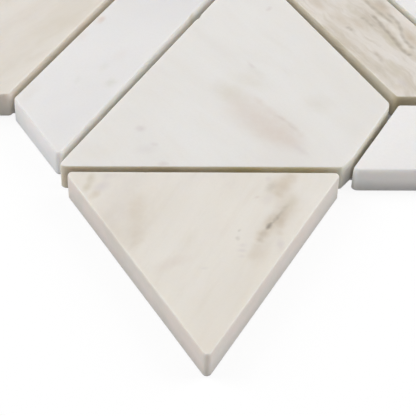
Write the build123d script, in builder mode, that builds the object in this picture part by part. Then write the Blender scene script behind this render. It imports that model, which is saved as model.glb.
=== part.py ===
from build123d import *
import os
from math import cos, radians, sin

# A mesh-mounted marble mosaic sheet. Rhombi turn about shared corners, and each rhombus is cut into
# one strip, one trapezoid and one triangle. All sizes are in millimetres and degrees.

# Pattern
rhombus_side = 111.0      # joint centre to joint centre along one side of a rhombus
strip_width = 25.8        # across one strip stone
joint = 2.1               # open gap between neighbouring stones

# Stones
stone_thickness = 8.0
corner_radius = 1.2       # blunted upright corners of the sawn stones
arris = 0.5               # eased edge around the polished face

# Mesh glued under the stones
mesh_thickness = 0.5
mesh_margin = 4.0         # how far the mesh stops short of the outer stones

# Corners of one rhombus on the joint centre lines. The apex is the origin, and the tip points to -Y.
half_height = rhombus_side * cos(radians(30))
half_width = rhombus_side * sin(radians(30))
apex = Vector(0, 0)
strip_corner = Vector(-half_width, -half_height)
tip = Vector(0, -2 * half_height)
far_corner = Vector(half_width, -half_height)

# The strip takes this much of a rhombus side, and the triangle takes the rest.
strip_share = (strip_width + joint) / sin(radians(60))
triangle_share = rhombus_side - strip_share
left_cut = strip_corner + (tip - strip_corner).normalized() * strip_share
right_cut = tip + (far_corner - tip).normalized() * triangle_share
top_cut = far_corner + (apex - far_corner).normalized() * triangle_share

# The three cells of a rhombus, anticlockwise
cells = {
    "strip": [apex, strip_corner, left_cut, top_cut],
    "trapezoid": [left_cut, right_cut, far_corner, top_cut],
    "triangle": [left_cut, tip, right_cut],
}

# Steps from one apex to its neighbours across the sheet
step_up = Vector(0, 2 * half_height)
step_right = Vector(3 * half_width, half_height)
step_left = Vector(-3 * half_width, half_height)
step_down_right = Vector(3 * half_width, -half_height)

# Every stone: node name, cell, apex of its rhombus, turn of the rhombus about that apex
stones = [
    ("white_strip_1", "strip", apex, 0),
    ("cream_trapezoid_1", "trapezoid", apex, 0),
    ("cream_triangle_1", "triangle", apex, 0),
    ("veined_strip_1", "strip", apex, 60),
    ("white_trapezoid_1", "trapezoid", apex, 60),
    ("white_triangle_1", "triangle", apex, 60),
    ("white_strip_2", "strip", apex, -60),
    ("cream_trapezoid_2", "trapezoid", apex, -60),
    ("cream_triangle_2", "triangle", apex, -60),
    ("white_strip_3", "strip", step_down_right, -60),
    ("white_strip_4", "strip", step_right, 0),
    ("cream_trapezoid_3", "trapezoid", step_right, 0),
    ("cream_triangle_3", "triangle", step_right, 0),
    ("white_strip_5", "strip", step_right, -60),
    ("cream_trapezoid_4", "trapezoid", step_right, -60),
    ("cream_triangle_4", "triangle", step_right, -60),
    ("veined_strip_2", "strip", step_left, 60),
    ("white_trapezoid_2", "trapezoid", step_left, 60),
    ("white_triangle_2", "triangle", step_left, 60),
    ("white_strip_6", "strip", step_up, 0),
    ("cream_trapezoid_5", "trapezoid", step_up, 0),
    ("cream_triangle_5", "triangle", step_up, 0),
    ("veined_strip_3", "strip", step_up, 60),
    ("white_trapezoid_3", "trapezoid", step_up, 60),
    ("white_triangle_3", "triangle", step_up, 60),
    ("cream_trapezoid_6", "trapezoid", step_up, -60),
    ("cream_triangle_6", "triangle", step_up, -60),
]

# Stones are sawn and set by hand. For those in the photo: how far each edge lies inside its place in
# the pattern (or outside it, if negative), in the order of the cell's edges.
hand_cut = {
    "white_strip_1": [0.0, 1.4, 1.8, 0.0],
    "cream_trapezoid_1": [0.0, 0.0, 0.0, -1.7],
    "veined_strip_1": [0.8, 2.0, 0.0, 0.0],
    "cream_trapezoid_2": [0.0, 2.3, 0.4, 0.0],
    "white_strip_3": [-0.4, -0.3, -0.8, 0.0],
}


def drawn_in(corners, insets):
    """Corners of a polygon whose edges are moved in, each by its own amount."""
    edges = [end - start for start, end in zip(corners, corners[1:] + corners[:1])]
    normals = [edge.normalized().rotate(Axis.Z, 90) for edge in edges]
    moved = []
    for i, corner in enumerate(corners):
        before, after = normals[i - 1], normals[i]
        turn = before.X * after.Y - before.Y * after.X
        across = (insets[i - 1] * after.Y - insets[i] * before.Y) / turn
        along = (before.X * insets[i] - after.X * insets[i - 1]) / turn
        moved.append(corner + Vector(across, along))
    return moved


# The cells in their places, moved so that the origin lies under the middle of the sheet
placed = {
    name: [corner.rotate(Axis.Z, turn) + apex_at for corner in cells[cell]]
    for name, cell, apex_at, turn in stones
}
xs = [corner.X for corners in placed.values() for corner in corners]
ys = [corner.Y for corners in placed.values() for corner in corners]
middle = Vector((min(xs) + max(xs)) / 2, (min(ys) + max(ys)) / 2)
placed = {name: [corner - middle for corner in corners] for name, corners in placed.items()}

os.makedirs("parts", exist_ok=True)

# Each stone is its cell drawn in by half a joint, sawn to thickness and eased at the edges.
for name, corners in placed.items():
    trims = hand_cut.get(name, [0.0] * len(corners))
    outline = drawn_in(corners, [joint / 2 + trim for trim in trims])
    with BuildPart() as stone:
        with BuildSketch(Plane.XY.offset(mesh_thickness)):
            with BuildLine():
                Polyline(*outline, close=True)
            make_face()
        extrude(amount=stone_thickness)
        fillet(stone.edges().filter_by(Axis.Z), radius=corner_radius)
        chamfer(stone.faces().sort_by(Axis.Z)[-1].edges(), length=arris)
    stone.part.label = name
    export_step(stone.part, f"parts/{name}.step")

# The mesh follows the outline of all the stones, a little way in.
sheet_outline = [
    placed["cream_triangle_1"][1],
    placed["white_strip_3"][2],
    placed["white_strip_3"][3],
    placed["cream_triangle_3"][1],
    placed["cream_trapezoid_3"][2],
    placed["white_strip_4"][0],
    placed["white_trapezoid_3"][2],
    placed["veined_strip_3"][0],
    placed["cream_trapezoid_6"][3],
    placed["cream_trapezoid_6"][0],
    placed["cream_triangle_6"][1],
    placed["veined_strip_2"][1],
    placed["cream_triangle_2"][1],
    placed["white_strip_1"][1],
]
with BuildPart() as mesh_backing:
    with BuildSketch():
        with BuildLine():
            Polyline(*drawn_in(sheet_outline, [joint / 2 + mesh_margin] * len(sheet_outline)), close=True)
        make_face()
    extrude(amount=mesh_thickness)
mesh_backing.part.label = "mesh_backing"
export_step(mesh_backing.part, "parts/mesh_backing.step")
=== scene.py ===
# %% [markdown]
# # A sheet of marble mosaic
# The real object is a sheet of 27 sawn marble pieces, glued to a net of glass fibre with
# open joints between them. The CAD model gives every piece its place and size. This lesson
# loads that model as a fixed frame and dresses it: sawn and worn edges, a woven net, and
# three kinds of marble that are made of nodes only.

# %% Load the frame
import math

import bpy
from mathutils import Matrix, Vector


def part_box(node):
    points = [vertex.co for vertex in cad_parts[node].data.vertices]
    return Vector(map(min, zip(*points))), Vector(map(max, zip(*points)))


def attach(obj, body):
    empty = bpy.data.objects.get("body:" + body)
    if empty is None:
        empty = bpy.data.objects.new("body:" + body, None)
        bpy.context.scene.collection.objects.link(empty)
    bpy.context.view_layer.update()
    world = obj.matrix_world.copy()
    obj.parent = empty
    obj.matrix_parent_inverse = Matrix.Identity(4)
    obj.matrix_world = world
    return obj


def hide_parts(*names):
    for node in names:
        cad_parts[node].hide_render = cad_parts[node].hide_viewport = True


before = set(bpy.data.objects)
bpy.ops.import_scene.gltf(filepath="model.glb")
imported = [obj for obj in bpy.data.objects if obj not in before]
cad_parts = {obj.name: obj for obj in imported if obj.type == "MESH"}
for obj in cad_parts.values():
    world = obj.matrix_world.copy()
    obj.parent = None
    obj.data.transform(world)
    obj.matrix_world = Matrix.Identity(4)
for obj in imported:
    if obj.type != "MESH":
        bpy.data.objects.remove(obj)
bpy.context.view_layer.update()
MM = 0.001
scene = bpy.context.scene
scene.view_settings.view_transform = "Standard"

# %% [markdown]
# ## The view
# The photograph looks down at about 44 degrees on one corner of the sheet with a long lens.
# A camera could be aimed by eye, but the pattern's own 60 degree edges fix its place and its
# three angles, so these are written as numbers. The axes are built from the angles and put
# into one matrix, which keeps the small roll of the picture exact.

# %% Camera
PHOTO_PIXELS = 416
FOCAL_PIXELS = 1444.11
PITCH_DOWN, YAW, ROLL = 0.7759264, 0.0353792, -0.0273012
EYE = Vector((-36.41, -410.09, 274.82)) * MM

forward = Vector((
    math.sin(YAW) * math.cos(PITCH_DOWN),
    math.cos(YAW) * math.cos(PITCH_DOWN),
    -math.sin(PITCH_DOWN),
))
level_right = Vector((math.cos(YAW), -math.sin(YAW), 0.0))
level_down = forward.cross(level_right)
right = math.cos(ROLL) * level_right + math.sin(ROLL) * level_down
down = math.cos(ROLL) * level_down - math.sin(ROLL) * level_right

lens = bpy.data.cameras.new("photo_camera")
lens.sensor_width = 36.0
lens.lens = FOCAL_PIXELS / PHOTO_PIXELS * lens.sensor_width
lens.clip_start = 0.01
camera = bpy.data.objects.new("photo_camera", lens)
camera.matrix_world = Matrix.Translation(EYE) @ Matrix(
    (right, -down, -forward)).transposed().to_4x4()
scene.collection.objects.link(camera)
scene.camera = camera
print(f"camera: {lens.lens:.1f} mm lens, {math.degrees(PITCH_DOWN):.1f} degrees down")

# %% [markdown]
# ## Writing nodes as sums
# Every finish and every shape below is a node tree, and trees are easier to read as
# formulas than as lists of links. One small class wraps a socket so that `1 - mask` adds a
# Math node. Another makes any node from its type, its settings and its inputs, and it serves
# shader trees and geometry trees alike.

# %% Wires
class Wire:
    """One value in a node tree. Arithmetic on it adds Math nodes."""

    def __init__(self, graph, socket):
        self.graph, self.socket = graph, socket

    def math(self, operation, *values):
        """A Math node with this value as its first input."""
        return self.graph.node("ShaderNodeMath", {"operation": operation},
                               dict(enumerate((self, *values))))

    def __add__(self, other): return self.math("ADD", other)
    def __radd__(self, other): return self.math("ADD", other)
    def __mul__(self, other): return self.math("MULTIPLY", other)
    def __rmul__(self, other): return self.math("MULTIPLY", other)
    def __sub__(self, other): return self.math("SUBTRACT", other)
    def __rsub__(self, other): return self.graph.node(
        "ShaderNodeMath", {"operation": "SUBTRACT"}, {0: other, 1: self})
    def __truediv__(self, other): return self.math("DIVIDE", other)
    def __gt__(self, other): return self.math("GREATER_THAN", other)
    def __lt__(self, other): return self.math("LESS_THAN", other)


print("wires ready")


# %% Graphs
class Graph:
    """A node tree that is filled by one method."""

    def __init__(self, tree):
        self.tree = tree

    def node(self, kind, settings=None, inputs=None, out=0):
        """Any node: its settings first, then a value, a link or a list of links per input."""
        made = self.tree.nodes.new(kind)
        for name, value in (settings or {}).items():
            setattr(made, name, value)
        for name, value in (inputs or {}).items():
            socket = made.inputs[name]
            for one in value if isinstance(value, list) else [value]:
                if isinstance(one, Wire):
                    self.tree.links.new(one.socket, socket)
                elif socket.type == "RGBA" and len(one) == 3:
                    socket.default_value = (*one, 1.0)
                else:
                    socket.default_value = one
        return Wire(self, made.outputs[out]) if made.outputs else None

    def vector(self, operation, *values, out=0):
        """A Vector Math node, because a Math node would make one number of a vector."""
        return self.node("ShaderNodeVectorMath", {"operation": operation},
                         dict(enumerate(values)), out)

    def scaled(self, vector, factor):
        """A vector or colour times a number."""
        return self.node("ShaderNodeVectorMath", {"operation": "SCALE"},
                         {0: vector, "Scale": factor})

    def xyz(self, x, y, z):
        """A vector from three numbers."""
        return self.node("ShaderNodeCombineXYZ", None, {0: x, 1: y, 2: z})

    def axis(self, vector, index):
        """One of the three numbers of a vector."""
        return self.node("ShaderNodeSeparateXYZ", None, {0: vector}, index)

    def noise(self, place, scale, detail=2.0, rough=0.5, warp=0.0, out=0):
        """Noise with this many blobs per metre. Output 0 is a value, output 1 a colour."""
        return self.node("ShaderNodeTexNoise", None, {
            "Vector": place, "Scale": scale, "Detail": detail,
            "Roughness": rough, "Distortion": warp}, out)

    def step(self, value, low, high, to_low=0.0, to_high=1.0):
        """A soft step: to_low where the value is under low, to_high where it is over high."""
        return self.node(
            "ShaderNodeMapRange", {"interpolation_type": "SMOOTHSTEP"},
            {"Value": value, "From Min": low, "From Max": high,
             "To Min": to_low, "To Max": to_high})

    def mix(self, share, first, second):
        """A blend of two colours: the first where the share is 0, the second where it is 1."""
        return self.node("ShaderNodeMix", {"data_type": "RGBA"},
                         {0: share, 6: first, 7: second}, 2)


print("graphs ready")

# %% [markdown]
# ## White paper
# The photograph is a studio picture on pure white. That white must not come from more light
# on the stone, so the floor and the world are only white for the camera: a Light Path node
# tells the rays that show the background from the rays that light the stone. Under the sheet
# the floor hardly glows, a painted shade that keeps it dark at the bottom of a joint. That
# patch of the floor takes its outline from the CAD backing.

# %% Paper finish
FLOOR_SHADOW = 0.12    # share of the floor's white that a shadow can take away


def new_finish(name):
    """A material with an empty tree, and that tree as a graph."""
    finish = bpy.data.materials.new(name)
    finish.use_nodes = True
    finish.node_tree.nodes.clear()
    return finish, Graph(finish.node_tree)


def seen_directly(graph):
    """1 for rays that show the background as such: camera, gloss and glass."""
    path = graph.node("ShaderNodeLightPath", None, None, "Is Camera Ray")
    outputs = path.socket.node.outputs
    glossy = Wire(graph, outputs["Is Glossy Ray"])
    through = Wire(graph, outputs["Is Transmission Ray"])
    return path.math("MAXIMUM", glossy).math("MAXIMUM", through)


def floor_paper(name, glow_share, bounce):
    """White paper: it bounces light like grey card, but the camera sees it glow."""
    finish, paper = new_finish(name)
    lit = paper.node("ShaderNodeBsdfDiffuse", None, {"Color": (bounce,) * 3})
    shaded = paper.node("ShaderNodeBsdfDiffuse", None, {"Color": (FLOOR_SHADOW,) * 3})
    glow = paper.node("ShaderNodeEmission", None, {
        "Color": (1.0, 1.0, 1.0), "Strength": glow_share * (1.0 - FLOOR_SHADOW)})
    shown = paper.node("ShaderNodeAddShader", None, {0: glow, 1: shaded})
    both = paper.node("ShaderNodeMixShader", None,
                      {0: seen_directly(paper), 1: lit, 2: shown})
    paper.node("ShaderNodeOutputMaterial", None, {"Surface": both})
    return finish


print("paper finish ready")

# %% World and floor
WORLD_LIGHT = 0.20         # strength of the world as a lamp
FLOOR_BOUNCE = 0.50        # grey of the floor for the light that it throws back
BOUNCE_UNDER_SHEET = 0.90
# the patch under the sheet is a painted shade: it glows far less than the open floor
GLOW_UNDER_SHEET = 0.16    # glow of the patch under the sheet, beside 1 for the open floor
PATCH_LIFT = 0.005 * MM
FLOOR_HALF = 4.0           # half of the floor's side, in metres

world = bpy.data.worlds.new("studio")
scene.world = world
world.use_nodes = True
world.node_tree.nodes.clear()
sky = Graph(world.node_tree)
sky_light = sky.node("ShaderNodeBackground", None, {
    "Color": (1.0, 1.0, 1.0),
    "Strength": WORLD_LIGHT + seen_directly(sky) * (1.0 - WORLD_LIGHT)})
sky.node("ShaderNodeOutputWorld", None, {"Surface": sky_light})

corners = [(x * FLOOR_HALF, y * FLOOR_HALF, 0.0)
           for x, y in ((-1, -1), (1, -1), (1, 1), (-1, 1))]
faces = [(0, 1, 2, 3)]
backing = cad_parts["mesh_backing"].data
for face in backing.polygons:
    ring = [backing.vertices[i].co for i in reversed(face.vertices)]
    underside = max(point.z for point in ring) < 0.1 * MM
    if underside:
        faces.append(range(len(corners), len(corners) + len(ring)))
        corners += [(point.x, point.y, PATCH_LIFT) for point in ring]
paper_mesh = bpy.data.meshes.new("floor")
paper_mesh.from_pydata(corners, [], faces)
paper_mesh.materials.append(floor_paper("floor_white", 1.0, FLOOR_BOUNCE))
# the second material paints shade on the floor under the sheet
paper_mesh.materials.append(
    floor_paper("floor_under_sheet", GLOW_UNDER_SHEET, BOUNCE_UNDER_SHEET))
for face in paper_mesh.polygons[1:]:
    face.material_index = 1
floor = bpy.data.objects.new("floor", paper_mesh)
scene.collection.objects.link(floor)
print("world and floor ready, the floor with", len(faces) - 1, "faces under the sheet")

# %% [markdown]
# ## Soft light
# In the photograph, walls that face left and right are nearly as bright as the top, and
# walls that face the camera are darker. An even sky would light all walls alike, so two large
# softboxes at the sides do most of the work. Two weak ones above them reach down into the
# joints, and a low one lifts the front.

# %% Softboxes
LAMP_DISTANCE = 1.5    # metres from the middle of the sheet
LAMPS = [
    # name, watts, size, height above the floor, turn from the camera's side
    ("left_softbox", 11.9, 0.9, 33.0, -98.0),
    ("right_softbox", 11.9, 0.9, 33.0, 98.0),
    ("left_high_softbox", 3.9, 0.8, 62.0, -100.0),
    ("right_high_softbox", 3.9, 0.8, 62.0, 100.0),
    ("front_softbox", 2.6, 0.6, 15.0, 0.0),
]
for name, watts, size, height, turn in LAMPS:
    lamp = bpy.data.lights.new(name, "AREA")
    lamp.shape, lamp.size, lamp.energy = "SQUARE", size, watts
    softbox = bpy.data.objects.new(name, lamp)
    up, around = math.radians(height), math.radians(turn)
    toward = Vector((math.cos(up) * math.sin(around), -math.cos(up) * math.cos(around),
                     math.sin(up)))
    softbox.location = toward * LAMP_DISTANCE
    softbox.rotation_euler = toward.to_track_quat("Z", "Y").to_euler()
    scene.collection.objects.link(softbox)
print(len(LAMPS), "softboxes,", round(sum(lamp[1] for lamp in LAMPS), 1), "watts in all")

# %% [markdown]
# ## Marks set one by one
# Four of the stones in the photograph have spots and veins of their own, which no noise would
# put in the same place. A painted image could carry them, but it would not follow the stone
# in other uses, so each mark is a soft oval: a Mapping node turns the stone's own coordinates
# into a unit circle, and the distance from its middle fades the mark out. A vein is a row of
# such ovals along a line. A noise shifts the coordinates first, so that no edge is smooth.

# %% Marks set one by one
MAUVE, TAN, OLIVE = (0.620, 0.568, 0.558), (0.545, 0.455, 0.350), (0.590, 0.540, 0.440)
SMOKE, ROSE, BARK = (0.240, 0.205, 0.165), (0.640, 0.560, 0.500), (0.350, 0.300, 0.235)
VEIN_OVERLAP = 0.85    # half an oval's length, as a share of the step from point to point


def vein(points, width, tint, strength):
    """Oval marks laid end to end along a line of points, in millimetres."""
    marks = []
    for (x0, y0), (x1, y1) in zip(points, points[1:]):
        angle = math.degrees(math.atan2(y1 - y0, x1 - x0))
        marks.append(((x0 + x1) / 2, (y0 + y1) / 2, angle,
                      VEIN_OVERLAP * math.hypot(x1 - x0, y1 - y0), width, tint, strength))
    return marks


def oval_mark(graph, place, x, y, angle, long, short):
    """1 in the middle of an oval on the top face, 0 outside. Millimetres and degrees."""
    local = graph.node("ShaderNodeMapping", {"vector_type": "TEXTURE"}, {
        "Vector": place, "Location": (x * MM, y * MM, 0.0),
        "Rotation": (0.0, 0.0, math.radians(angle)),
        "Scale": (long * MM, short * MM, 1.0)})
    from_middle = graph.vector("LENGTH", local, out="Value")
    return graph.step(from_middle, 0.0, 1.0, to_low=1.0, to_high=0.0)


def hand_marks(graph, colour, marks, sway=1.0, where=1.0):
    """Lays soft marks (x, y, angle, long, short, tint, strength) over a colour."""
    here = graph.node("ShaderNodeTexCoord", None, None, "Object")
    drift = graph.noise(here, scale=230.0, detail=4.0, rough=0.6, out=1)
    drift = graph.vector("SUBTRACT", drift, (0.5,) * 3)
    place = graph.vector("ADD", here, graph.scaled(drift, 2 * sway * MM))
    flat = graph.vector("MULTIPLY", place, (1.0, 1.0, 0.0))
    patchy = graph.noise(here, scale=420.0, detail=3.0, rough=0.6)
    broken = graph.step(patchy, 0.25, 0.65, to_low=0.70) * where
    for x, y, angle, long, short, tint, strength in marks:
        mask = oval_mark(graph, flat, x, y, angle, long, short) * broken * strength
        colour = graph.mix(mask, colour, tint)
    return colour


print("marks ready")

# %% [markdown]
# ## Marble, in general
# Marble is a crystalline stone: a pale ground with soft clouds, a fine sugary grain, and
# veins where other minerals ran through it. Light goes a few millimetres into it, which is
# why the top of a wall glows and its foot is dark, and the foot of every wall is painted
# darker as well, as shade. Neighbouring pieces of a mosaic come from different places of the
# slab, so each stone carries an attribute, `slab`, with its own place in the slab, and the
# patterns read that. A second one, `glued`, is 1 over the net: there the walls of the joints
# get a brown glue tint and a painted shade that darkens them deeper down. A third, `tone`,
# makes a stone a little lighter or darker than the rest. The honed face is smoother than the
# sawn walls. The walls' own tint is partly their sawn colour and partly painted light, and
# the eased edge gets a painted highlight.

# %% Marble base
# second colour: a painted highlight on the eased edge
GRAIN_GREY, EDGE_HIGHLIGHT = (0.62, 0.60, 0.57), (0.85, 0.82, 0.78)
# a brown glue tint that also paints joint shade, and a painted shade for the foot of the walls
GLUE_AND_SHADE_BROWN, FOOT_SHADE_GREY = (0.56, 0.47, 0.24), (0.43, 0.40, 0.37)
COOLER = (0.90, 0.95, 0.94)    # the second tone of a wall, as a share of the first
# the walls' tint is partly their sawn colour and partly painted light; the edge share is the
# painted highlight
WALL_SHARE, ARRIS_SHARE = 0.55, 0.05    # how much their own tints show
FACE_ROUGHNESS, SAWN_ROUGHER = (0.34, 0.46), 0.18
LIGHT_DEPTH = 3.2 * MM    # how far light goes into the stone


def slab_place(graph):
    """The stone's own place in the slab."""
    return graph.node("ShaderNodeAttribute", {"attribute_name": "slab"}, None, "Vector")


def honed(finish, graph, slab, colour, wall_colour_and_light, deep_joint_shade, foot=0.30, wall_marks=()):
    """Tone, grain, wall tints, painted shade, a painted edge highlight, roughness, a fine bump
    and translucent stone.
    """
    tone = graph.node("ShaderNodeAttribute", {"attribute_name": "tone"}, None, "Fac")
    glued = graph.node("ShaderNodeAttribute", {"attribute_name": "glued"}, None, "Fac")
    ground = graph.scaled(colour, tone)
    grain = graph.noise(slab, scale=1400.0, detail=3.0, rough=0.6)
    ground = graph.mix(graph.step(grain, 0.35, 0.75, to_high=0.10), ground, GRAIN_GREY)

    upward = graph.axis(graph.node("ShaderNodeNewGeometry", None, None, "Normal"), 2)
    flat = upward.math("ABSOLUTE")
    # walls get a tint of their own: partly the sawn colour, partly painted light and shade
    wall = 1.0 - graph.step(flat, 0.25, 0.75)
    cool_tint = tuple(c * share for c, share in zip(wall_colour_and_light, COOLER))
    mottle = graph.step(graph.noise(slab, scale=110.0, detail=3.0, rough=0.6), 0.40, 0.62)
    ground = graph.mix(wall * WALL_SHARE, ground, graph.mix(mottle, wall_colour_and_light, cool_tint))
    # painted shade: joint walls over the net get a glue tint that darkens deeper down
    height = graph.axis(graph.node("ShaderNodeTexCoord", None, None, "Object"), 2)
    depth = 1.0 - graph.step(height, 4.0 * MM, 8.4 * MM)
    ground = graph.mix(wall * glued * (0.08 + depth * deep_joint_shade), ground, GLUE_AND_SHADE_BROWN)
    # painted shade: every wall turns darker towards its foot
    low = 1.0 - graph.step(height, 0.5 * MM, 5.0 * MM)
    ground = graph.mix(wall * low * foot, ground, FOOT_SHADE_GREY)
    ground = hand_marks(graph, ground, wall_marks, where=wall) if wall_marks else ground
    # painted highlight: the eased edge is lighter
    arris = graph.step(flat, 0.30, 0.60) * (1.0 - graph.step(flat, 0.92, 0.995))
    ground = graph.mix(arris * ARRIS_SHARE, ground, EDGE_HIGHLIGHT)

    patches = graph.noise(slab, scale=120.0, detail=3.0)
    rough = graph.step(patches, 0.3, 0.7, *FACE_ROUGHNESS) + wall * SAWN_ROUGHER
    pits = graph.noise(slab, scale=420.0)
    relief = grain * (0.35 + wall) + pits * (0.6 + wall)
    bump = graph.node("ShaderNodeBump", None, {
        "Strength": 0.12, "Distance": 0.2 * MM, "Height": relief})
    stone = graph.node("ShaderNodeBsdfPrincipled", None, {
        "Base Color": ground, "Roughness": rough, "Normal": bump,
        "IOR": 1.49, "Specular IOR Level": 0.4, "Subsurface Weight": 0.55,
        "Subsurface Radius": (1.0, 0.85, 0.65), "Subsurface Scale": LIGHT_DEPTH})
    graph.node("ShaderNodeOutputMaterial", None, {"Surface": stone})
    return finish


print("marble base ready")

# %% [markdown]
# ## White marble
# The plain strips are nearly pure white, with clouds so faint that they only show beside
# each other. A flat white would look like plastic, so two broad noises shift the ground a
# little towards cool grey and towards warm.

# %% White marble
SNOW, COOL_GREY, IVORY = (0.790, 0.776, 0.768), (0.745, 0.733, 0.731), (0.765, 0.745, 0.710)


def white_marble(name, marks=(), wall_colour_and_light=(0.93, 0.89, 0.85), deep_joint_shade=0.14, foot=0.30,
                 wall_marks=()):
    """Nearly pure white, with faint cool and warm clouds."""
    finish, graph = new_finish(name)
    slab = slab_place(graph)
    clouds = graph.noise(slab, scale=16.0, detail=4.0, rough=0.55, warp=0.5)
    colour = graph.mix(graph.step(clouds, 0.35, 0.7), SNOW, COOL_GREY)
    elsewhere = graph.vector("ADD", slab, (3.1, 0.7, 0.0))
    warm = graph.noise(elsewhere, scale=30.0, detail=3.0)
    colour = graph.mix(graph.step(warm, 0.5, 0.8, to_high=0.5), colour, IVORY)
    colour = hand_marks(graph, colour, marks) if marks else colour
    return honed(finish, graph, slab, colour, wall_colour_and_light, deep_joint_shade, foot, wall_marks)


FROST, BLUSH = (0.600, 0.600, 0.550), (0.740, 0.670, 0.640)
RUST, SAND = (0.60, 0.49, 0.43), (0.68, 0.62, 0.55)
WHITE_STRIP_MARKS = [
    # grey spots
    (-54.0, -87.5, 60, 3.2, 2.2, FROST, 0.55), (-56.2, -79.8, 60, 4.0, 2.0, FROST, 0.25),
    (-63.8, -86.4, 80, 3.0, 1.2, FROST, 0.20),
    # rosy stains
    (-51.7, -74.6, 60, 6.0, 3.0, BLUSH, 0.30),
    (-63.0, -65.5, 60, 4.5, 2.2, BLUSH, 0.50), (-58.5, -57.5, 60, 3.4, 2.0, BLUSH, 0.55),
    # a rusty spot, and a warm left end
    (-57.7, -57.4, 60, 2.6, 1.6, RUST, 0.50), (-77.2, -91.7, 60, 8.0, 3.2, SAND, 0.28),
]
WALL_STAIN = [(-30.3, -54.8, 60, 2.6, 2.2, (0.56, 0.48, 0.34), 0.45)]
WHITE = white_marble("honed_white_marble")
WHITE_STRIP = white_marble(
    "honed_white_faint_spots", WHITE_STRIP_MARKS, wall_colour_and_light=(1.0, 0.955, 0.965),
    deep_joint_shade=0.05, foot=0.06, wall_marks=WALL_STAIN)
# painted shade: this white's walls turn much darker towards the foot
WHITE_FOOT_SHADE = white_marble(
    "honed_white_foot_shade", wall_colour_and_light=(1.0, 0.97, 0.955), foot=0.55)
for finish in (WHITE, WHITE_STRIP, WHITE_FOOT_SHADE):
    print(finish.name, len(finish.node_tree.nodes), "nodes")

# %% [markdown]
# ## Cream marble
# The large pieces are warm: cream ground, mauve-grey mottling here and there and a few
# tan veins. Veins could be drawn one by one, but most pieces only need to have some, so they
# come from the crest of a noise, which draws a thin wandering line wherever the noise passes
# its middle value.

# %% Cream marble
def cream_marble(name, light, warm, marks=(), veins=1.0, brushed=0.12,
                 wall_colour_and_light=(0.74, 0.665, 0.605), deep_joint_shade=0.30, foot=0.30,
                 wall_marks=()):
    """Light and warm clouds, mottling, brushed lines, veins, and marks set one by one."""
    finish, graph = new_finish(name)
    slab = slab_place(graph)
    drawn = graph.vector("MULTIPLY", slab, (0.45, 1.0, 1.0))
    clouds = graph.noise(drawn, scale=34.0, detail=5.0, rough=0.6, warp=0.5)
    colour = graph.mix(graph.step(clouds, 0.34, 0.70), light, warm)
    for shift, tint in ((1.7, MAUVE), (4.4, OLIVE)):
        elsewhere = graph.vector("ADD", drawn, (shift, shift, 0.0))
        patch = graph.noise(elsewhere, scale=62.0, detail=4.0, rough=0.6, warp=0.3)
        colour = graph.mix(graph.step(patch, 0.52, 0.74, to_high=2.2 * brushed), colour, tint)
    streaked = graph.vector("MULTIPLY", slab, (0.15, 1.0, 1.0))
    brush = graph.noise(streaked, scale=330.0, detail=3.0, rough=0.6)
    colour = graph.mix(graph.step(brush, 0.45, 0.80, to_high=brushed), colour, TAN)
    if veins:
        wavy = graph.noise(drawn, scale=24.0, detail=4.0, warp=0.4)
        crest = (wavy - 0.5).math("ABSOLUTE")
        run = graph.step(graph.noise(slab, scale=14.0), 0.52, 0.70)
        line = graph.step(crest, 0.0, 0.030, to_low=1.0, to_high=0.0) * run * veins
        colour = graph.mix(line * 0.34, colour, TAN)
        core = graph.step(crest, 0.0, 0.007, to_low=1.0, to_high=0.0) * run * veins
        colour = graph.mix(core * 0.20, colour, SMOKE)
    colour = hand_marks(graph, colour, marks) if marks else colour
    return honed(finish, graph, slab, colour, wall_colour_and_light, deep_joint_shade, foot, wall_marks)


CREAM = cream_marble("honed_cream_marble", (0.752, 0.714, 0.662), (0.695, 0.642, 0.570))
print(CREAM.name, len(CREAM.node_tree.nodes), "nodes")

# %% [markdown]
# ## The smoky vein
# The triangle at the tip carries the strongest mark of the sheet: a smoky vein that starts
# tan at the edge, darkens to one spot and fades away in a tail. A single dark line would look
# drawn on, so it has a halo, a brown line and a dark core on top of each other, with specks
# and mauve clouds beside it. Its left corner is mottled.

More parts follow.
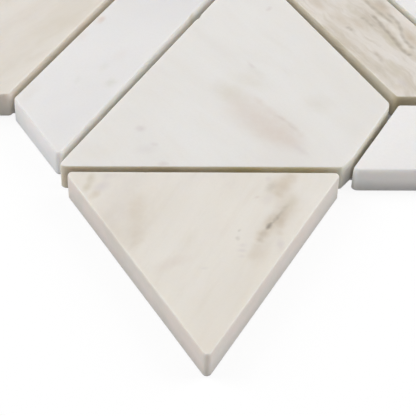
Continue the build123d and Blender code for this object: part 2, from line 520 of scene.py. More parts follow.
# %% Smoky vein
SMOKY_VEIN = [(-5.7, -137.1), (-6.9, -139.5), (-8.0, -141.3), (-9.6, -143.6), (-11.0, -145.8),
              (-12.2, -147.1)]
VEIN_TAIL = [(-12.2, -147.1), (-13.2, -149.8), (-14.1, -151.3), (-15.0, -154.1),
             (-16.2, -157.5)]
VEIN_HEAD = [(-3.2, -125.7), (-5.8, -128.6), (-7.6, -132.8), (-8.5, -134.4)]
TRIANGLE_MARKS = [
    # a broad warm wash down the left side and round the vein
    (-46.0, -141.0, 70, 30.0, 17.0, TAN, 0.20), (-9.0, -143.0, 60, 18.0, 7.0, TAN, 0.20),
    (-28.0, -143.0, 90, 22.0, 15.0, TAN, 0.07),
    # the smoky vein: a halo, a line that darkens to one spot, and a tail that fades away
    (-9.5, -143.8, 57, 8.5, 3.2, TAN, 0.55), (-6.0, -140.0, 58, 9.0, 4.2, TAN, 0.34),
    (-9.0, -143.2, 57, 6.0, 2.6, BARK, 0.20), (-6.3, -134.6, 58, 6.0, 4.0, TAN, 0.30),
    *vein(SMOKY_VEIN[:3], 0.9, BARK, 0.34), *vein(SMOKY_VEIN[2:], 0.8, SMOKE, 0.52),
    (-11.1, -145.8, 52, 1.9, 1.15, SMOKE, 0.80),
    *vein(VEIN_TAIL[:3], 2.4, TAN, 0.55), *vein(VEIN_TAIL[:3], 1.2, SMOKE, 0.16),
    *vein(VEIN_TAIL[2:], 2.2, TAN, 0.34), (-13.5, -155.0, 68, 7.0, 3.4, TAN, 0.30),
    # its tan head, where it meets the edge, with a brown spot and clouds beside it
    *vein(VEIN_HEAD, 2.8, TAN, 0.42), (-6.9, -129.8, 52, 9.0, 4.8, TAN, 0.45),
    (-9.8, -130.7, 50, 3.4, 2.0, BARK, 0.28),
    (-10.8, -135.4, 60, 3.6, 2.4, MAUVE, 0.40), (-4.9, -136.8, 57, 4.5, 2.4, OLIVE, 0.55),
    # a faint second line on its right
    *vein([(-7.0, -142.5), (-8.1, -147.1), (-8.7, -148.9)], 1.6, TAN, 0.30),
    (-8.4, -152.5, 85, 3.8, 1.5, MAUVE, 0.55),
    # specks
    (-18.6, -147.1, 70, 1.0, 0.6, SMOKE, 0.28), (-19.3, -149.9, 60, 1.2, 0.9, BARK, 0.34),
    (-18.1, -152.4, 8, 1.8, 1.0, MAUVE, 0.42), (-18.3, -154.3, 0, 2.0, 1.2, MAUVE, 0.55),
    (-18.5, -156.5, 0, 1.7, 1.0, MAUVE, 0.42), (-13.7, -134.9, 30, 1.3, 0.9, ROSE, 0.60),
    (-10.2, -127.7, 80, 1.8, 1.3, MAUVE, 0.45), (-28.2, -160.5, 0, 1.6, 0.9, MAUVE, 0.30),
    # the mottled corner on the left and soft patches down the left side
    *vein([(-57.6, -126.0), (-58.5, -129.5), (-59.4, -132.6)], 1.8, OLIVE, 0.85),
    (-55.0, -130.6, 60, 4.4, 2.6, MAUVE, 0.65), (-53.0, -126.5, 20, 3.8, 1.9, MAUVE, 0.55),
    (-56.7, -134.0, 60, 2.8, 1.6, TAN, 0.45), (-45.9, -138.5, 80, 8.0, 3.8, TAN, 0.32),
    (-45.4, -148.5, 72, 8.0, 3.4, TAN, 0.32), (-45.6, -151.9, 50, 3.6, 2.0, TAN, 0.26),
    (-37.9, -159.6, 40, 5.4, 2.8, ROSE, 0.32), (-34.2, -157.7, 30, 4.8, 2.6, ROSE, 0.28),
]
CREAM_TRIANGLE = cream_marble(
    "honed_cream_smoky_vein", (0.770, 0.737, 0.684), (0.740, 0.697, 0.630), TRIANGLE_MARKS,
    veins=0.0, wall_colour_and_light=(0.83, 0.735, 0.695))
print(CREAM_TRIANGLE.name, len(TRIANGLE_MARKS), "marks")

# %% [markdown]
# ## The rosy plume
# The trapezoid behind it is paler, with a broad plume that is olive where it starts and rosy
# lower down. Plumes have no outline, so this one is a heap of wide ovals, and only its upper
# right side gets a narrow line. The wall towards the triangle is painted dark brown as shade
# in the joint, more at its ends than in the middle, and that is a row of marks on the wall.

# %% Rosy plume
PLUME_EDGE = [(-12.6, -93.9), (-10.2, -97.4), (-6.7, -101.7), (-4.1, -104.5), (-1.5, -108.1),
              (0.8, -111.4)]
STRAW = (0.66, 0.60, 0.50)
TRAPEZOID_MARKS = [
    # a broad plume: olive where it starts, rosy lower down, sharper on its upper right side
    (-20.0, -91.5, -45, 9.0, 5.5, OLIVE, 0.42), (-13.5, -86.5, -30, 9.0, 5.0, OLIVE, 0.28),
    (-15.5, -97.5, -48, 11.0, 7.5, ROSE, 0.42), (-8.5, -105.2, -50, 12.0, 8.0, ROSE, 0.55),
    (-4.2, -111.4, -55, 9.0, 6.0, ROSE, 0.58), *vein(PLUME_EDGE, 1.8, ROSE, 0.30),
    *vein(PLUME_EDGE[2:5], 1.0, BARK, 0.14), (-1.0, -116.0, -50, 4.5, 2.0, MAUVE, 0.45),
    (-15.0, -103.9, -48, 14.0, 6.5, ROSE, 0.28), (-10.2, -109.4, -50, 11.0, 6.0, ROSE, 0.30),
    (-11.9, -82.2, -45, 6.0, 2.4, OLIVE, 0.22), (5.0, -96.6, 0, 7.0, 6.0, OLIVE, 0.22),
    # a warm wash in the left corner, and small grey spots
    (-57.0, -117.5, 20, 15.0, 7.0, STRAW, 0.17),
    (-45.2, -107.4, 0, 2.0, 2.0, MAUVE, 0.72), (-41.2, -113.8, 0, 1.7, 1.2, MAUVE, 0.45),
    (-43.6, -115.9, 20, 4.8, 3.0, MAUVE, 0.30), (-38.5, -121.8, 0, 2.2, 1.4, MAUVE, 0.75),
    (-6.7, -51.7, 60, 2.2, 1.3, MAUVE, 0.70), (-13.2, -79.4, -60, 2.6, 1.0, MAUVE, 0.60),
]
JOINT_SHADE_LINE = [
    # painted shade: a brown band along the front wall, in the joint
    *vein([(-72.0, -123.0), (-52.0, -123.0), (-32.0, -123.0)], 2.2, (0.47, 0.39, 0.24), 0.62),
    *vein([(-40.0, -123.0), (-20.0, -123.0)], 2.2, (0.52, 0.44, 0.27), 0.48),
    *vein([(-24.0, -123.0), (-10.0, -123.0)], 2.2, (0.50, 0.43, 0.17), 0.75),
    *vein([(-12.0, -123.0), (8.0, -123.0)], 2.2, (0.60, 0.53, 0.26), 0.60),
]
CREAM_TRAPEZOID = cream_marble(
    "honed_cream_rosy_plume", (0.768, 0.754, 0.732), (0.745, 0.722, 0.688), TRAPEZOID_MARKS,
    veins=0.0, brushed=0.05, wall_colour_and_light=(0.83, 0.78, 0.69), deep_joint_shade=0.12, foot=0.10,
    wall_marks=JOINT_SHADE_LINE)
print(CREAM_TRAPEZOID.name, len(TRAPEZOID_MARKS) + len(JOINT_SHADE_LINE), "marks")

# %% [markdown]
# ## Brown-veined marble
# Three parallel strips are cut along the bedding of a striped stone, so their colour runs
# lengthwise in fine tan lines with one wavy brown vein. A wave texture would make the lines
# too even, so the slab's coordinates are squeezed along the strip before they reach a noise,
# which draws its blobs out into streaks.

# %% Brown-veined marble
BED = (0.730, 0.685, 0.632)
STREAKS = [
    # squeeze along the strip, layer of the noise, scale, from, to, strength, colour
    (0.22, 0.2, 150.0, 0.40, 0.64, 1.00, (0.605, 0.545, 0.462)),
    (0.24, 0.9, 280.0, 0.52, 0.70, 0.65, (0.775, 0.738, 0.700)),
    (0.20, 0.0, 480.0, 0.50, 0.72, 0.40, (0.505, 0.440, 0.360)),
    (0.40, 0.4, 190.0, 0.55, 0.72, 0.50, (0.545, 0.500, 0.430)),
]


def brown_veined_marble(name, marks=(), stripes=1.0, wall_marks=()):
    """Streaks in four colours along the strip, a wavy vein, and marks set one by one."""
    finish, graph = new_finish(name)
    slab = slab_place(graph)
    along, across = graph.axis(slab, 0), graph.axis(slab, 1)
    bend = (graph.noise(slab, scale=28.0, detail=3.0) - 0.5) * 0.010
    ripple = (graph.noise(slab, scale=130.0, detail=3.0) - 0.5) * 0.0035
    layer = across + bend + ripple
    colour = BED
    for squeeze, shift, scale, low, high, strength, tint in STREAKS:
        drawn = graph.xyz(along * squeeze, layer, shift)
        streak = graph.noise(drawn, scale, detail=4.0, rough=0.6)
        colour = graph.mix(graph.step(streak, low, high, to_high=strength), colour, tint)
    wavy = graph.noise(graph.xyz(along * 0.18, layer, 0.6), scale=60.0, detail=3.0)
    crest = (wavy - 0.5).math("ABSOLUTE")
    line = graph.step(crest, 0.0, 0.030, to_low=0.55 * stripes, to_high=0.0)
    colour = graph.mix(line, colour, BARK)
    colour = hand_marks(graph, colour, marks, sway=0.6) if marks else colour
    return honed(finish, graph, slab, colour, wall_colour_and_light=(0.66, 0.61, 0.53), deep_joint_shade=0.14,
                 wall_marks=wall_marks)


VEINED = brown_veined_marble("honed_brown_veined_marble")
print(VEINED.name, len(VEINED.node_tree.nodes), "nodes")

# %% [markdown]
# ## The wavy veins
# The strip in the photograph shows its own veins: three wavy brown ones on tan beds in one
# half, and short faint lines in the pale half. They follow points that were read off the
# photograph, and the beds are laid down before the lines, so that the lines stay sharp.

# %% Wavy veins
CHESTNUT, PALE_BED = (0.47, 0.40, 0.32), (0.790, 0.750, 0.700)
STRIP_MARKS = [
    # tan beds between the veins, and a pale band beside the longest one
    (28.2, -50.5, -62, 6.5, 2.6, TAN, 0.80), (35.4, -66.0, -68, 6.5, 2.6, TAN, 0.85),
    *vein([(26.5, -55.0), (29.6, -59.2), (31.5, -63.5), (32.6, -68.0), (34.2, -71.6)],
          1.7, PALE_BED, 0.80),
    *vein([(27.4, -63.8), (29.1, -66.8), (30.9, -69.9)], 2.2, OLIVE, 0.90),
    # brown smudges round the veins and on the left
    (24.6, -57.0, -66, 8.0, 2.4, CHESTNUT, 0.50), (28.1, -48.2, -60, 5.0, 2.2, BARK, 0.40),
    (20.2, -58.9, -60, 5.5, 1.8, TAN, 0.55), (15.0, -56.5, -60, 7.0, 3.6, TAN, 0.45),
    (8.3, -48.9, -60, 5.5, 2.6, TAN, 0.55), (14.1, -68.3, -60, 4.5, 1.6, TAN, 0.40),
    (24.8, -74.0, -60, 5.0, 1.8, TAN, 0.40),
    # three wavy veins
    *vein([(24.8, -54.3), (26.1, -57.0), (28.0, -61.4), (29.3, -64.3), (30.6, -67.5),
           (31.7, -71.0), (33.3, -73.3), (34.6, -74.1)], 1.1, BARK, 0.80),
    *vein([(23.4, -46.7), (24.5, -49.3), (26.4, -52.1), (28.6, -55.4), (30.3, -58.4)],
          1.1, BARK, 0.60),
    *vein([(29.5, -53.4), (31.8, -57.0), (32.7, -59.4), (32.9, -63.2), (33.2, -66.5),
           (34.5, -69.4), (35.8, -70.9)], 1.1, BARK, 0.62),
    # short faint lines and a dark squiggle in the pale half
    *vein([(21.2, -55.7), (22.4, -56.5), (23.3, -58.4), (24.6, -60.3)], 1.0, BARK, 0.45),
    *vein([(17.9, -48.5), (18.3, -51.6), (20.0, -54.1)], 1.6, OLIVE, 0.65),
    *vein([(16.2, -60.4), (17.5, -61.2), (18.0, -62.6)], 1.1, BARK, 0.50),
    *vein([(23.5, -72.4), (25.0, -75.0), (25.6, -77.6)], 1.2, BARK, 0.35),
    *vein([(27.3, -76.2), (28.7, -80.7), (30.1, -82.6)], 2.2, OLIVE, 0.60),
    *vein([(28.3, -87.4), (29.3, -90.3)], 2.2, TAN, 0.35),
    *vein([(29.8, -85.5), (31.3, -88.4)], 1.8, MAUVE, 0.60),
]
# painted shade: a dark olive-brown band on the strip's end wall, in the joint
END_WALL_SHADE = vein([(20.0, -93.1), (36.0, -93.1), (52.0, -93.1)], 2.4, (0.47, 0.41, 0.27), 0.75)
VEINED_STRIP = brown_veined_marble(
    "honed_brown_wavy_veins", STRIP_MARKS, stripes=0.0, wall_marks=END_WALL_SHADE)
print(VEINED_STRIP.name, len(STRIP_MARKS) + len(END_WALL_SHADE), "marks")

# %% [markdown]
# ## Trees with named inputs
# The stones and the net both follow a rule, so each gets a Geometry Nodes tree whose sizes
# are named inputs. Both trees begin and end alike and both need to know what lies over the
# net, so those parts are written once. A tree could stay on the piece as a modifier, but a
# plain mesh is easier to reuse, so it runs once on a blank and its result is kept.

# %% Tree helpers
def geometry_tree(name, sockets):
    """A geometry tree with named inputs. Returns the tree, its graph and its inlets."""
    tree = bpy.data.node_groups.new(name, "GeometryNodeTree")
    tree.interface.new_socket("Geometry", in_out="INPUT", socket_type="NodeSocketGeometry")
    for label, kind in sockets.items():
        tree.interface.new_socket(label, in_out="INPUT", socket_type="NodeSocket" + kind)
    tree.interface.new_socket("Geometry", in_out="OUTPUT", socket_type="NodeSocketGeometry")
    graph = Graph(tree)
    entry = tree.nodes.new("NodeGroupInput")
    return tree, graph, {s.name: Wire(graph, s) for s in entry.outputs if s.name}


def finish_tree(graph, geometry, material):
    """Ends a tree the same way each time: real geometry with its material."""
    real = graph.node("GeometryNodeRealizeInstances", None, {"Geometry": geometry})
    done = graph.node("GeometryNodeSetMaterial", None, {"Geometry": real, "Material": material})
    graph.node("NodeGroupOutput", None, {0: done})


def over_backing(graph, backing, place):
    """True where a ray straight down meets the backing."""
    shape = graph.node("GeometryNodeObjectInfo", {"transform_space": "ORIGINAL"},
                       {"Object": backing}, "Geometry")
    return graph.node("GeometryNodeRaycast", None, {
        "Target Geometry": shape, "Ray Direction": (0.0, 0.0, -1.0), "Ray Length": 0.1,
        "Source Position": graph.vector("ADD", place, (0.0, 0.0, 0.05))}, "Is Hit")


print("tree helpers ready")


# %% Running a tree
def run_tree(tree, values, mesh, name):
    """Runs a geometry tree on a mesh once and returns the result as a plain object."""
    rough = bpy.data.objects.new(name + "_blank", mesh)
    scene.collection.objects.link(rough)
    modifier = rough.modifiers.new("tree", "NODES")
    modifier.node_group = tree
    for item in tree.interface.items_tree:
        if item.item_type == "SOCKET" and item.in_out == "INPUT" and item.name in values:
            modifier[item.identifier] = values[item.name]
    made = bpy.data.meshes.new_from_object(
        rough.evaluated_get(bpy.context.evaluated_depsgraph_get()))
    bpy.data.objects.remove(rough)
    made.name = name
    piece = bpy.data.objects.new(name, made)
    scene.collection.objects.link(piece)
    return piece


def triangles_of(piece):
    """How many triangles a piece has."""
    return sum(len(face.vertices) - 2 for face in piece.data.polygons)


print("ready to run trees")

# %% [markdown]
# ## The sawn stones
# A stone is sawn from a slab, so its outline wanders a little, its walls are straight, and
# its top edge, the arris, is eased and slightly chipped. Each could be a bevelled prism, but
# all follow one rule, so one tree makes them: it takes the CAD outline, sweeps a wall and
# arris profile round it, chips the arris by noise, and closes top and bottom. Each of these
# steps is a function here.

# %% Outline, wall and arris
WALL_STEPS, ARRIS_STEPS = 7, 6
WELD = 0.001 * MM    # points nearer than this become one


def stored(graph, geometry, name, value, data_type="FLOAT"):
    """Keeps a value on the points of a shape, under a name."""
    return graph.node("GeometryNodeStoreNamedAttribute",
                      {"data_type": data_type, "domain": "POINT"},
                      {"Geometry": geometry, "Name": name, "Value": value})


def sawn_rim(graph, outline, spacing, wander, sample):
    """The outline in short steps that wander a little, with its normal kept."""
    rim = graph.node("GeometryNodeMeshToCurve", None, {"Mesh": outline})
    rim = graph.node("GeometryNodeResampleCurve", {"mode": "LENGTH"},
                     {"Curve": rim, "Length": spacing})
    sway = graph.vector("SUBTRACT", graph.noise(sample, scale=55.0, out=1), (0.5,) * 3)
    sway = graph.vector("MULTIPLY", sway, (1.0, 1.0, 0.0))
    rim = graph.node("GeometryNodeSetPosition", None, {
        "Geometry": rim, "Offset": graph.scaled(sway, wander)})
    rim = graph.node("GeometryNodeSetCurveNormal", {"mode": "Z_UP"}, {"Curve": rim})
    normal = graph.node("GeometryNodeInputNormal")
    return stored(graph, rim, "outward", normal, "FLOAT_VECTOR")


def swept_side(graph, rim, thick, arris, drop):
    """A straight wall, and an arris that goes in by one size while it goes up by another."""
    shoulder = graph.xyz(0.0, drop - thick, 0.0)
    wall = graph.node("GeometryNodeCurvePrimitiveLine", None, {
        "Start": (0.0, 0.0, 0.0), "End": shoulder})
    wall = graph.node("GeometryNodeResampleCurve", {"mode": "COUNT"},
                      {"Curve": wall, "Count": WALL_STEPS})
    eased = graph.node("GeometryNodeCurveQuadraticBezier", None, {
        "Resolution": ARRIS_STEPS, "Start": shoulder,
        "Middle": graph.xyz(0.0, 0.0 - thick, 0.0),
        "End": graph.xyz(0.0 - arris, 0.0 - thick, 0.0)})
    profile = graph.node("GeometryNodeJoinGeometry", None, {"Geometry": [wall, eased]})
    side = graph.node("GeometryNodeCurveToMesh", None, {"Curve": rim, "Profile Curve": profile})
    side = graph.node("GeometryNodeMergeByDistance", None,
                      {"Geometry": side, "Distance": WELD})
    side = graph.node("GeometryNodeFlipFaces", None, {"Mesh": side})
    return graph.node("GeometryNodeSetShadeSmooth", None, {"Geometry": side})


print("wall of", WALL_STEPS, "steps and arris of", ARRIS_STEPS, "steps ready")

# %% Chips and caps
WORN_ZONE = 2.0 * MM    # how far down from the top face the chips reach


def chipped(graph, side, height, thick, chip, sample):
    """Single bites and fine wear, pushed into the stone near its top face."""
    outward = graph.node("GeometryNodeInputNamedAttribute", {"data_type": "FLOAT_VECTOR"},
                         {"Name": "outward"})
    near_top = graph.step(height, thick - WORN_ZONE, thick)
    bites = graph.step(graph.noise(sample, scale=260.0, detail=3.0, rough=0.7), 0.66, 0.78)
    wear = graph.noise(sample, scale=900.0) * 0.25
    return graph.node("GeometryNodeSetPosition", None, {
        "Geometry": side,
        "Offset": graph.scaled(outward, (bites + wear) * near_top * chip * -1.0)})


def capped(graph, side, place, height, thick):
    """Closes a side with one flat face at the top and one at the bottom."""
    edge_faces = graph.node("GeometryNodeInputMeshEdgeNeighbors")
    caps = []
    for upper in (True, False):
        rim_edge = edge_faces < 1.5
        there = (height > thick * 0.5) if upper else (height < thick * 0.5)
        ring = graph.node("GeometryNodeMeshToCurve", None,
                          {"Mesh": side, "Selection": rim_edge * there})
        cap = graph.node("GeometryNodeFillCurve", {"mode": "NGONS"}, {"Curve": ring})
        level = graph.node("GeometryNodeSampleIndex", {"data_type": "FLOAT"}, {
            "Geometry": ring, "Value": height, "Index": 0})
        cap = graph.node("GeometryNodeSetPosition", None, {
            "Geometry": cap,
            "Position": graph.xyz(graph.axis(place, 0), graph.axis(place, 1), level)})
        if not upper:
            cap = graph.node("GeometryNodeFlipFaces", None, {"Mesh": cap})
        caps.append(graph.node("GeometryNodeSetShadeSmooth", None,
                               {"Geometry": cap, "Shade Smooth": False}))
    stone = graph.node("GeometryNodeJoinGeometry", None, {"Geometry": [side, *caps]})
    return graph.node("GeometryNodeMergeByDistance", None,
                      {"Geometry": stone, "Distance": 2 * WELD})


print("chips and caps ready")

# %% [markdown]
# ## One tree for every stone
# The tree puts these steps in order. Where two faces meet at a sharp angle, the edge between
# them is marked sharp, so that the shading breaks there. Last, the stone gets the three
# attributes that its marble reads: its place in the slab, its tone, and where it is glued.

# %% Sawn stone tree
SHARP_EDGE = math.radians(60)


def sawn_stone_tree():
    """The tree that turns an outline into a stone."""
    tree, graph, inlet = geometry_tree("sawn_stone", {
        "Thickness": "Float", "Arris": "Float", "Drop": "Float", "Spacing": "Float",
        "Wander": "Float", "Chip": "Float", "Seed": "Float", "Slab turn": "Float",
        "Slab shift": "Vector", "Tone": "Float", "Backing": "Object",
        "Material": "Material"})
    thick = inlet["Thickness"]
    place = graph.node("GeometryNodeInputPosition")
    height = graph.axis(place, 2)
    sample = graph.vector("ADD", place, graph.xyz(inlet["Seed"], 0.0, 0.0))
    rim = sawn_rim(graph, inlet["Geometry"], inlet["Spacing"], inlet["Wander"], sample)
    side = swept_side(graph, rim, thick, inlet["Arris"], inlet["Drop"])
    side = chipped(graph, side, height, thick, inlet["Chip"], sample)
    stone = capped(graph, side, place, height, thick)

    bend = graph.node("GeometryNodeInputMeshEdgeAngle")
    stone = graph.node("GeometryNodeSetShadeSmooth", {"domain": "EDGE"}, {
        "Geometry": stone, "Selection": bend > SHARP_EDGE, "Shade Smooth": False})
    stone = graph.node("GeometryNodeRemoveAttribute", None,
                       {"Geometry": stone, "Name": "outward"})

    turned = graph.node("ShaderNodeVectorRotate", {"rotation_type": "Z_AXIS"},
                        {"Vector": place, "Angle": inlet["Slab turn"]})
    slab = graph.vector("ADD", turned, inlet["Slab shift"])
    stone = stored(graph, stone, "slab", slab, "FLOAT_VECTOR")
    stone = stored(graph, stone, "tone", inlet["Tone"])
    glued = over_backing(graph, inlet["Backing"], place)
    stone = stored(graph, stone, "glued", glued)
    finish_tree(graph, stone, inlet["Material"])
    return tree


SAWN_STONE = sawn_stone_tree()
print("sawn stone tree:", len(SAWN_STONE.nodes), "nodes")

# %% [markdown]
# ## Outlines
# The tree needs an outline to sweep, and the CAD node has it: its lowest corners, sorted
# round the middle. Stones are sawn and set by hand, so no two are quite alike. For the stones
# in the photograph, some edges lie a fraction of a millimetre off their place in the CAD
# model, one has two knocked corners, and one edge has a nick. These are small changes to a
# polygon, so plain Python makes them before the tree runs.

# %% Edges, corners and a nick
MOVED_EDGES = {
    # start and end of the edge, and how far each of them moves out, in millimetres
    "cream_trapezoid_1": [((26.5, -96.1), (-12.6, -28.3), -0.45, 1.25),
                          ((-12.6, -28.3), (-67.3, -123.0), -0.20, 0.37)],
    "cream_triangle_1": [((9.8, -125.1), (-65.3, -125.1), 0.10, 0.30)],
    "white_strip_1": [((-27.8, -2.1), (-81.2, -94.7), 0.35, 0.35)],
    "white_strip_3": [((137.2, -96.8), (28.2, -96.8), 0.75, 0.75),
                      ((28.2, -96.8), (12.7, -123.8), 0.15, 0.48),
                      ((12.7, -123.8), (121.6, -123.8), -0.10, -0.10)],
}
CUT_CORNERS = {"cream_trapezoid_1": [((24.6, -102.8), (25.7, -96.2)),
                                     ((10.1, -123.0), (13.6, -118.6))]}
NICK = {"cream_trapezoid_1": (-28.5, -55.9, 3.0, 0.42)}    # place, width and depth
EDGE_REACH = 2.0 * MM     # corners nearer to an edge than this move with it


def cut_off(ring, start, end):
    """Keeps the part of a convex outline that lies left of the line from start to end."""
    (x0, y0), (x1, y1) = [(x * MM, y * MM) for x, y in (start, end)]
    side = [(x1 - x0) * (y - y0) - (y1 - y0) * (x - x0) for x, y in ring]
    kept = []
    for i, point in enumerate(ring):
        last, last_side, this_side = ring[i - 1], side[i - 1], side[i]
        if (last_side < 0) != (this_side < 0):
            share = last_side / (last_side - this_side)
            kept.append(tuple(a + (b - a) * share for a, b in zip(last, point)))
        if this_side >= 0:
            kept.append(point)
    return kept


def move_edge(ring, start, end, out_start, out_end):
    """Moves one edge of an anticlockwise outline outwards, by its own amount at each end."""
    start, end = Vector(start) * MM, Vector(end) * MM
    along = (end - start).normalized()
    outward = Vector((along.y, -along.x))
    moved = []
    for point in map(Vector, ring):
        share = (point - start).dot(along) / (end - start).length
        near = 1.0 - (start - point).dot(outward) / EDGE_REACH
        out = (out_start + (out_end - out_start) * share) * MM
        moved.append(tuple(point + outward * out * min(max(near, 0.0), 1.0)))
    return moved


def nick(ring, x, y, wide, deep):
    """Adds a small V to an anticlockwise outline, at the edge nearest to x and y."""
    spot = Vector((x * MM, y * MM))
    found = []
    for i, end in enumerate(ring):
        start, end = Vector(ring[i - 1]), Vector(end)
        along = end - start
        share = min(max((spot - start).dot(along) / along.length_squared, 0.0), 1.0)
        foot = start + along * share
        found.append(((spot - foot).length, i, foot, along.normalized()))
    _, i, foot, along = min(found, key=lambda item: item[0])
    inward = Vector((-along.y, along.x))
    half = along * wide * MM / 2
    return ring[:i] + [tuple(foot - half), tuple(foot + inward * deep * MM),
                       tuple(foot + half)] + ring[i:]


print(sum(map(len, MOVED_EDGES.values())), "edges to move,",
      sum(map(len, CUT_CORNERS.values())), "corners to cut,", len(NICK), "nick")


# %% Outlines
def outline_of(node):
    """The outline of a stone's underside as a closed loop of edges."""
    points = [v.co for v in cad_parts[node].data.vertices]
    low = min(p.z for p in points)
    ring = {(round(p.x, 6), round(p.y, 6)) for p in points if p.z < low + 0.01 * MM}
    mid_x = sum(x for x, _ in ring) / len(ring)
    mid_y = sum(y for _, y in ring) / len(ring)
    ring = sorted(ring, key=lambda p: math.atan2(p[1] - mid_y, p[0] - mid_x))
    for edge in MOVED_EDGES.get(node, ()):
        ring = move_edge(ring, *edge)
    for cut in CUT_CORNERS.get(node, ()):
        ring = cut_off(ring, *cut)
    if node in NICK:
        ring = nick(ring, *NICK[node])
    mesh = bpy.data.meshes.new(node + "_outline")
    mesh.from_pydata([(x, y, low) for x, y in ring],
                     [(i, (i + 1) % len(ring)) for i in range(len(ring))], [])
    return mesh


stones = sorted(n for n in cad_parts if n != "mesh_backing")
print(len(stones), "outlines to cut")

# %% [markdown]
# ## Cutting the 27 stones
# Every stone gets its own seed and its own place in the slab, counted from its name, so the
# sheet comes out the same each time. The stones in the photograph have their own finish, tone
# and edge: the drop is how far down the wall the eased edge begins, and one strip is a little
# thinner. The plain mesh that comes out stands for the CAD node.

# %% Finish and size of each stone
FINISH = {"white": (WHITE, "white_marble"), "cream": (CREAM, "cream_marble"),
          "veined": (VEINED, "brown_veined_marble")}
OWN_FINISH = {"cream_triangle_1": CREAM_TRIANGLE, "cream_trapezoid_1": CREAM_TRAPEZOID,
              "veined_strip_1": VEINED_STRIP, "white_strip_1": WHITE_STRIP,
              "white_strip_3": WHITE_FOOT_SHADE}
# in millimetres, for each kind of stone and for single stones
ARRIS = {"white": 0.35, "cream": 0.32, "veined": 0.32, "white_strip_3": 0.60}
DROP = {"white": 1.3, "cream": 1.3, "veined": 1.2, "white_strip_1": 4.5,
        "white_strip_3": 2.4, "cream_trapezoid_1": 1.8, "cream_trapezoid_2": 1.6}
SPACING, WANDER, CHIP = 0.45, 0.12, 0.28
# as shares of the usual thickness and brightness
THINNER = {"white_strip_3": 0.95}
TONE = {"white_strip_1": 0.985, "white_strip_3": 1.04, "cream_trapezoid_1": 1.0,
        "cream_triangle_1": 1.0, "cream_trapezoid_2": 0.985, "veined_strip_1": 0.97}
DARKEST, TONE_RANGE, GOLDEN_SHARE = 0.97, 0.06, 0.618
# in degrees
SLAB_TURN = {"cream_triangle_1": -65.0, "cream_trapezoid_1": 55.0}
VEINED_TURN, OTHER_TURN = -120.0, 137.0
# from one stone to the next in metres, and the number of rows in the slab
SEED_STEP, SLAB_STEP, SLAB_ROWS = 3.7, (0.41, 0.23), 7
print(len(FINISH), "kinds of stone,", len(OWN_FINISH), "stones with a finish of their own")

# %% Cut the stones
cut = []
for number, node in enumerate(stones):
    kind = node.split("_")[0]
    finish, slot = FINISH[kind]
    low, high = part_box(node)
    turn = VEINED_TURN if kind == "veined" else SLAB_TURN.get(node, OTHER_TURN * number)
    stone = run_tree(SAWN_STONE, {
        "Thickness": (high[2] - low[2]) * THINNER.get(node, 1.0),
        "Arris": ARRIS.get(node, ARRIS[kind]) * MM,
        "Drop": DROP.get(node, DROP[kind]) * MM, "Spacing": SPACING * MM,
        "Wander": WANDER * MM, "Chip": CHIP * MM, "Seed": SEED_STEP * number,
        "Slab turn": math.radians(turn),
        "Slab shift": (SLAB_STEP[0] * number, SLAB_STEP[1] * (number % SLAB_ROWS), 0.0),
        "Tone": TONE.get(node, DARKEST + TONE_RANGE * (number * GOLDEN_SHARE % 1.0)),
        "Backing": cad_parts["mesh_backing"],
        "Material": OWN_FINISH.get(node, finish)}, outline_of(node), "sawn_" + node)
    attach(stone, "root")
    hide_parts(node)
    cut.append(stone)
print(len(cut), "stones,", sum(map(triangles_of, cut)), "triangles")

# %% [markdown]
# ## The glass-fibre net
# The stones are glued to a net of white glass fibre, which holds the sheet together until it
# is laid. It only shows from below and through the joints, but there it is all that shows. A
# net is two sets of parallel strands that pass over and under each other, so a tree makes it:
# it lays rows and columns, keeps what lies inside the CAD backing, lifts every second
# crossing, and sweeps a flat strand along what is left.

# %% Glass net tree
def glass_net_tree():
    """The tree that weaves rows and columns of flat strands over the backing."""
    tree, graph, inlet = geometry_tree("glass_net", {
        "Backing": "Object", "Corner": "Vector", "Rows": "Int", "Columns": "Int",
        "Pitch": "Float", "Strand width": "Float", "Strand thickness": "Float",
        "Level": "Float", "Lift": "Float", "Material": "Material"})
    pitch, corner = inlet["Pitch"], inlet["Corner"]
    place = graph.node("GeometryNodeInputPosition")
    inside = over_backing(graph, inlet["Backing"], place)
    x, y = graph.axis(place, 0), graph.axis(place, 1)
    from_corner = graph.vector("SUBTRACT", place, corner)
    cells = graph.axis(from_corner, 0) / pitch + graph.axis(from_corner, 1) / pitch
    wave = (cells * math.pi).math("COSINE") * inlet["Lift"]
    flat = graph.node("GeometryNodeCurvePrimitiveQuadrilateral", None, {
        "Width": inlet["Strand width"], "Height": inlet["Strand thickness"]})
    sets = []
    for lines, steps, spread, run, over in (
            (inlet["Rows"], inlet["Columns"], (0.0, 1.0, 0.0), (0.5, 0.0, 0.0), 1.0),
            (inlet["Columns"], inlet["Rows"], (1.0, 0.0, 0.0), (0.0, 0.5, 0.0), -1.0)):
        starts = graph.node("GeometryNodeMeshLine", {"mode": "OFFSET"}, {
            "Count": lines, "Start Location": corner, "Offset": graph.scaled(spread, pitch)})
        strand = graph.node("GeometryNodeMeshLine", {"mode": "OFFSET"}, {
            "Count": steps * 2, "Offset": graph.scaled(run, pitch)})
        laid = graph.node("GeometryNodeInstanceOnPoints", None,
                          {"Points": starts, "Instance": strand})
        laid = graph.node("GeometryNodeRealizeInstances", None, {"Geometry": laid})
        laid = graph.node("GeometryNodeDeleteGeometry", {"domain": "POINT"},
                          {"Geometry": laid, "Selection": 1 - inside})
        laid = graph.node("GeometryNodeSetPosition", None, {
            "Geometry": laid, "Position": graph.xyz(x, y, inlet["Level"] + wave * over)})
        path = graph.node("GeometryNodeMeshToCurve", None, {"Mesh": laid})
        path = graph.node("GeometryNodeSetCurveNormal", {"mode": "Z_UP"}, {"Curve": path})
        sets.append(graph.node("GeometryNodeCurveToMesh", None, {
            "Curve": path, "Profile Curve": flat, "Fill Caps": True}))
    net = graph.node("GeometryNodeJoinGeometry", None, {"Geometry": sets})
    finish_tree(graph, net, inlet["Material"])
    return tree


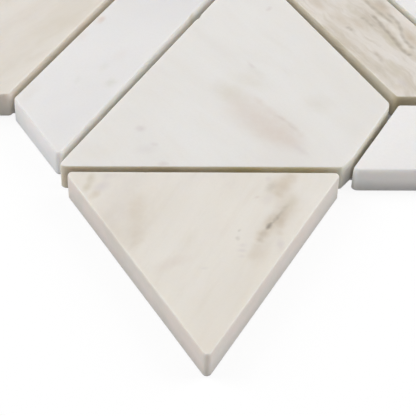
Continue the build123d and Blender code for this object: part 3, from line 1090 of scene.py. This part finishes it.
GLASS_NET = glass_net_tree()
print("glass net tree:", len(GLASS_NET.nodes), "nodes")

# %% [markdown]
# ## Weaving the net
# Glass fibre is a bundle of fine white yarn with a dull coat of size. At one millimetre a
# strand, the yarn is too fine to model, so a fine noise makes it in colour, roughness and
# bump. The strands are thin enough to cross between the floor and the stones.

# %% Glass net
FIBRE_WHITE, FIBRE_GREY = (0.80, 0.81, 0.80), (0.72, 0.72, 0.69)
YARN_SHADE = (0.60, 0.61, 0.60)


def glass_fibre(name):
    """White yarn, a little greyer where the size is thick."""
    finish, graph = new_finish(name)
    here = graph.node("ShaderNodeTexCoord", None, None, "Object")
    yarn = graph.noise(here, scale=2600.0, detail=3.0, rough=0.6)
    size = graph.noise(here, scale=90.0, detail=3.0)
    colour = graph.mix(graph.step(size, 0.35, 0.7), FIBRE_WHITE, FIBRE_GREY)
    colour = graph.mix(graph.step(yarn, 0.3, 0.7, to_high=0.3), colour, YARN_SHADE)
    bump = graph.node("ShaderNodeBump", None, {
        "Strength": 0.4, "Distance": 0.1 * MM, "Height": yarn})
    rough = graph.step(yarn, 0.2, 0.8, to_low=0.45, to_high=0.65)
    strand = graph.node("ShaderNodeBsdfPrincipled", None, {
        "Base Color": colour, "Roughness": rough, "Normal": bump})
    graph.node("ShaderNodeOutputMaterial", None, {"Surface": strand})
    return finish


NET_PITCH = 5.0 * MM
NET_START = 0.3 * NET_PITCH    # first strand, from the corner of the backing's box
STRAND_WIDTH, STRAND_THICKNESS, STRAND_LIFT = 1.0 * MM, 0.22 * MM, 0.13 * MM

low, high = (Vector(corner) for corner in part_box("mesh_backing"))
room = high - low
net = run_tree(GLASS_NET, {
    "Backing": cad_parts["mesh_backing"],
    "Corner": (low.x + NET_START, low.y + NET_START, low.z),
    "Rows": int(room.y / NET_PITCH) + 1, "Columns": int(room.x / NET_PITCH) + 1,
    "Pitch": NET_PITCH, "Strand width": STRAND_WIDTH, "Strand thickness": STRAND_THICKNESS,
    "Level": (low.z + high.z) / 2, "Lift": STRAND_LIFT,
    "Material": glass_fibre("glass_fibre_net")}, bpy.data.meshes.new("net_blank"), "glass_net")
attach(net, "root")
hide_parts("mesh_backing")
print("net:", triangles_of(net), "triangles")
